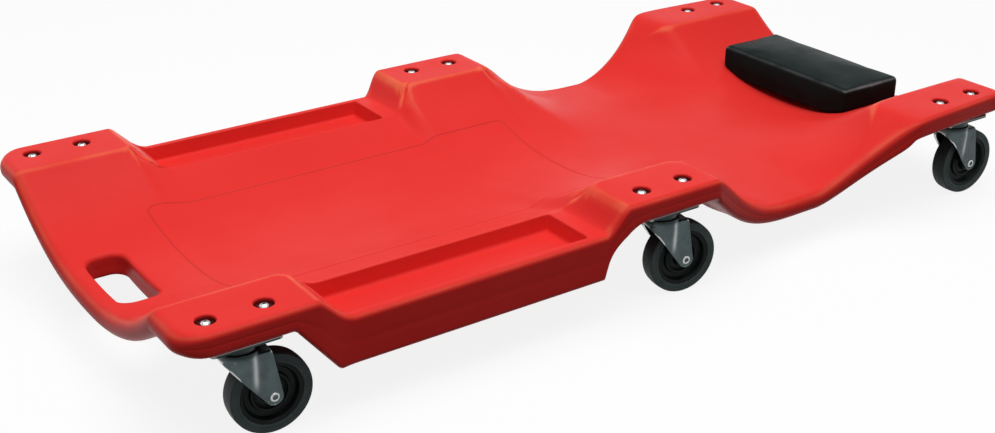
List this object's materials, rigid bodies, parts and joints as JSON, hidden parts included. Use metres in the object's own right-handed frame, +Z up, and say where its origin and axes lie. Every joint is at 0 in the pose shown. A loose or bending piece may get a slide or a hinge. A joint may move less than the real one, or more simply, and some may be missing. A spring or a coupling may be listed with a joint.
{
  "type": "mechanic creeper",
  "caption": "Low dished plastic board on swivel casters with side tool trays, a handle slot and a padded headrest, for lying on under a vehicle.",
  "frame": {"origin": "on the floor under the middle of the moulding's length and width", "axes": "+X towards the head end, +Y towards the right hand of someone lying face up, +Z up"},
  "size_m": [1.007, 0.486, 0.12],
  "materials": {
    "red_plastic": "satin moulded surface",
    "black_vinyl": "smooth vinyl cover",
    "zinc_steel": "zinc plated pressed steel",
    "bright_steel": "bright plated",
    "grey_rubber": "matte grey rubber",
    "black_plastic": "moulded black",
    "plywood": "raw board"
  },
  "bodies": {
    "deck": {"deck": "red_plastic", "headrest_cushion": "black_vinyl", "headrest_board": "plywood", "headrest_screws": "bright_steel", "caster_bolts": "bright_steel", "caster_washers": "zinc_steel", "caster_nuts": "zinc_steel", "kingpins": "bright_steel", "kingpin_washers": "zinc_steel", "plate_foot_left": "zinc_steel", "plate_foot_right": "zinc_steel", "plate_mid_left": "zinc_steel", "plate_mid_right": "zinc_steel", "plate_head_left": "zinc_steel", "plate_head_right": "zinc_steel"},
    "swivel_foot_left": {"fork_foot_left": "zinc_steel", "balls_foot_left": "bright_steel", "axle_foot_left": "bright_steel"},
    "wheel_foot_left": {"core_foot_left": "black_plastic", "tyre_foot_left": "grey_rubber", "bush_foot_left": "bright_steel"},
    "swivel_foot_right": {"fork_foot_right": "zinc_steel", "balls_foot_right": "bright_steel", "axle_foot_right": "bright_steel"},
    "wheel_foot_right": {"core_foot_right": "black_plastic", "tyre_foot_right": "grey_rubber", "bush_foot_right": "bright_steel"},
    "swivel_mid_left": {"fork_mid_left": "zinc_steel", "balls_mid_left": "bright_steel", "axle_mid_left": "bright_steel"},
    "wheel_mid_left": {"core_mid_left": "black_plastic", "tyre_mid_left": "grey_rubber", "bush_mid_left": "bright_steel"},
    "swivel_mid_right": {"fork_mid_right": "zinc_steel", "balls_mid_right": "bright_steel", "axle_mid_right": "bright_steel"},
    "wheel_mid_right": {"core_mid_right": "black_plastic", "tyre_mid_right": "grey_rubber", "bush_mid_right": "bright_steel"},
    "swivel_head_left": {"fork_head_left": "zinc_steel", "balls_head_left": "bright_steel", "axle_head_left": "bright_steel"},
    "wheel_head_left": {"core_head_left": "black_plastic", "tyre_head_left": "grey_rubber", "bush_head_left": "bright_steel"},
    "swivel_head_right": {"fork_head_right": "zinc_steel", "balls_head_right": "bright_steel", "axle_head_right": "bright_steel"},
    "wheel_head_right": {"core_head_right": "black_plastic", "tyre_head_right": "grey_rubber", "bush_head_right": "bright_steel"}
  },
  "joints": [
    {"name": "foot_left_swivel", "type": "hinge", "parent": "deck", "child": "swivel_foot_left", "pos_m": [-0.444, -0.212, 0.038], "axis": [0, 0, 1], "continuous": true},
    {"name": "foot_left_roll", "type": "hinge", "parent": "swivel_foot_left", "child": "wheel_foot_left", "pos_m": [-0.42053, -0.21323, 0.038], "axis": [0.0523, 0.9986, 0], "continuous": true},
    {"name": "foot_right_swivel", "type": "hinge", "parent": "deck", "child": "swivel_foot_right", "pos_m": [-0.444, 0.212, 0.038], "axis": [0, 0, 1], "continuous": true},
    {"name": "foot_right_roll", "type": "hinge", "parent": "swivel_foot_right", "child": "wheel_foot_right", "pos_m": [-0.42053, 0.21077, 0.038], "axis": [0.0523, 0.9986, 0], "continuous": true},
    {"name": "mid_left_swivel", "type": "hinge", "parent": "deck", "child": "swivel_mid_left", "pos_m": [0.0095, -0.212, 0.038], "axis": [0, 0, 1], "continuous": true},
    {"name": "mid_left_roll", "type": "hinge", "parent": "swivel_mid_left", "child": "wheel_mid_left", "pos_m": [0.03277, -0.21527, 0.038], "axis": [0.1392, 0.9903, 0], "continuous": true},
    {"name": "mid_right_swivel", "type": "hinge", "parent": "deck", "child": "swivel_mid_right", "pos_m": [0.0095, 0.212, 0.038], "axis": [0, 0, 1], "continuous": true},
    {"name": "mid_right_roll", "type": "hinge", "parent": "swivel_mid_right", "child": "wheel_mid_right", "pos_m": [0.03277, 0.20873, 0.038], "axis": [0.1392, 0.9903, 0], "continuous": true},
    {"name": "head_left_swivel", "type": "hinge", "parent": "deck", "child": "swivel_head_left", "pos_m": [0.4415, -0.212, 0.038], "axis": [0, 0, 1], "continuous": true},
    {"name": "head_left_roll", "type": "hinge", "parent": "swivel_head_left", "child": "wheel_head_left", "pos_m": [0.46494, -0.21364, 0.038], "axis": [0.0698, 0.9976, 0], "continuous": true},
    {"name": "head_right_swivel", "type": "hinge", "parent": "deck", "child": "swivel_head_right", "pos_m": [0.4415, 0.212, 0.038], "axis": [0, 0, 1], "continuous": true},
    {"name": "head_right_roll", "type": "hinge", "parent": "swivel_head_right", "child": "wheel_head_right", "pos_m": [0.46494, 0.21036, 0.038], "axis": [0.0698, 0.9976, 0], "continuous": true}
  ]
}
